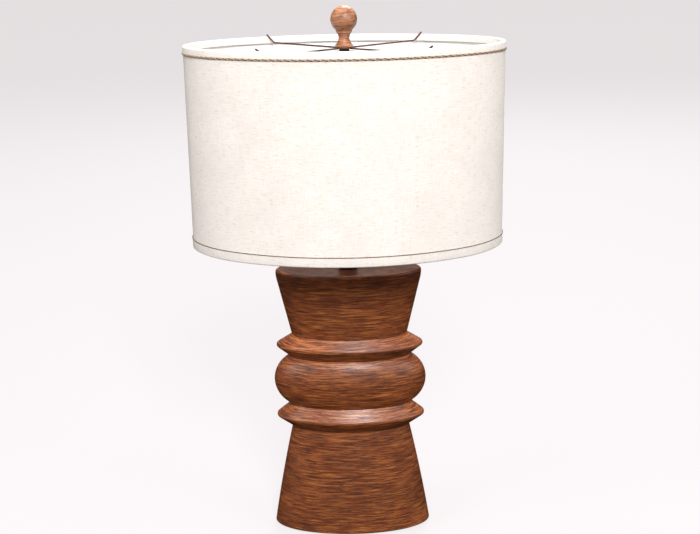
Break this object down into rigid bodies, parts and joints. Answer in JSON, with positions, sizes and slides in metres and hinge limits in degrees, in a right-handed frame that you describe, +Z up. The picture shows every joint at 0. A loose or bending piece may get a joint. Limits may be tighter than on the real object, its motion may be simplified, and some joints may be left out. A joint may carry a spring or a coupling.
{
  "type": "column table lamp",
  "caption": "Table lamp with an oval carved wooden column of stacked collars and rings, an oval linen drum shade on a harp and a ball finial.",
  "frame": {"origin": "middle of the underside, on the surface the lamp stands on", "axes": "+Z up along the column, +X along the long way of the ovals, -Y to the front"},
  "size_m": [0.4082, 0.2558, 0.7084],
  "materials": {
    "stained_wood": "brown stained, horizontal wire-brushed grain, satin lacquer",
    "plain_wood": "bare beech",
    "finial_wood": "lighter brown stain, satin",
    "cast_iron": "as cast",
    "zinc_steel": "zinc plated",
    "fibreboard": "pressed fibreboard",
    "felt": "black felt",
    "black_plastic": "moulded phenolic",
    "dark_bronze": "dark bronze lacquer",
    "brass": "plain brass",
    "card": "brown insulating card",
    "aluminium": "rolled",
    "solder": "tinned",
    "black_glass": "black vitrite",
    "frosted_glass": "frosted inside",
    "cream_linen": "oatmeal linen with slubs",
    "white_backing": "white styrene lining",
    "tan_braid": "two-tone tan and brown twisted braid",
    "brown_piping": "thin brown cord"
  },
  "bodies": {
    "stand": {"foot_section": "stained_wood", "lower_collar": "stained_wood", "swell_ring": "stained_wood", "upper_collar": "stained_wood", "cup_section": "stained_wood", "locating_dowels": "plain_wood", "ballast_weight": "cast_iron", "lower_washer": "zinc_steel", "lower_nut": "zinc_steel", "floor_plate": "fibreboard", "floor_screws": "zinc_steel", "felt_pad": "felt", "outlet_bushing": "black_plastic", "threaded_pipe": "zinc_steel", "top_washer": "zinc_steel", "top_nut": "zinc_steel", "neck": "dark_bronze", "harp_saddle": "dark_bronze", "harp": "dark_bronze", "harp_stud": "brass", "socket_cap": "brass", "socket_shell": "brass", "shell_liner": "card", "socket_core": "black_plastic", "screw_shell": "aluminium", "centre_contact": "brass"},
    "shade": {"shade_cloth": "cream_linen", "shade_backing": "white_backing", "top_ring": "dark_bronze", "bottom_ring": "dark_bronze", "spider_hub": "dark_bronze", "spider_arms": "dark_bronze", "top_band": "cream_linen", "bottom_band": "cream_linen", "top_braid": "tan_braid", "bottom_piping": "brown_piping"},
    "finial": {"finial": "finial_wood", "finial_insert": "brass"},
    "bulb": {"bulb_button": "solder", "bulb_insulator": "black_glass", "bulb_cap": "aluminium", "bulb_glass": "frosted_glass"},
    "switch": {"switch_shaft": "brass", "switch_knob": "black_plastic"},
    "sleeve_left": {"sleeve_left": "dark_bronze"},
    "sleeve_right": {"sleeve_right": "dark_bronze"}
  },
  "joints": [
    {"name": "shade_turn", "type": "hinge", "parent": "stand", "child": "shade", "pos_m": [0, 0, 0.6565], "axis": [0, 0, 1], "continuous": true},
    {"name": "finial_turn", "type": "hinge", "parent": "stand", "child": "finial", "pos_m": [0, 0, 0.6576], "axis": [0, 0, 1], "continuous": true},
    {"name": "bulb_turn", "type": "hinge", "parent": "stand", "child": "bulb", "pos_m": [0, 0, 0.44], "axis": [0, 0, 1], "continuous": true},
    {"name": "switch_turn", "type": "hinge", "parent": "stand", "child": "switch", "pos_m": [0, -0.02, 0.42615], "axis": [0, -1, 0], "continuous": true},
    {"name": "sleeve_left_lift", "type": "slide", "parent": "stand", "child": "sleeve_left", "axis": [0, 0, 1], "range_m": [0, 0.012]},
    {"name": "sleeve_right_lift", "type": "slide", "parent": "stand", "child": "sleeve_right", "axis": [0, 0, 1], "range_m": [0, 0.012]}
  ]
}
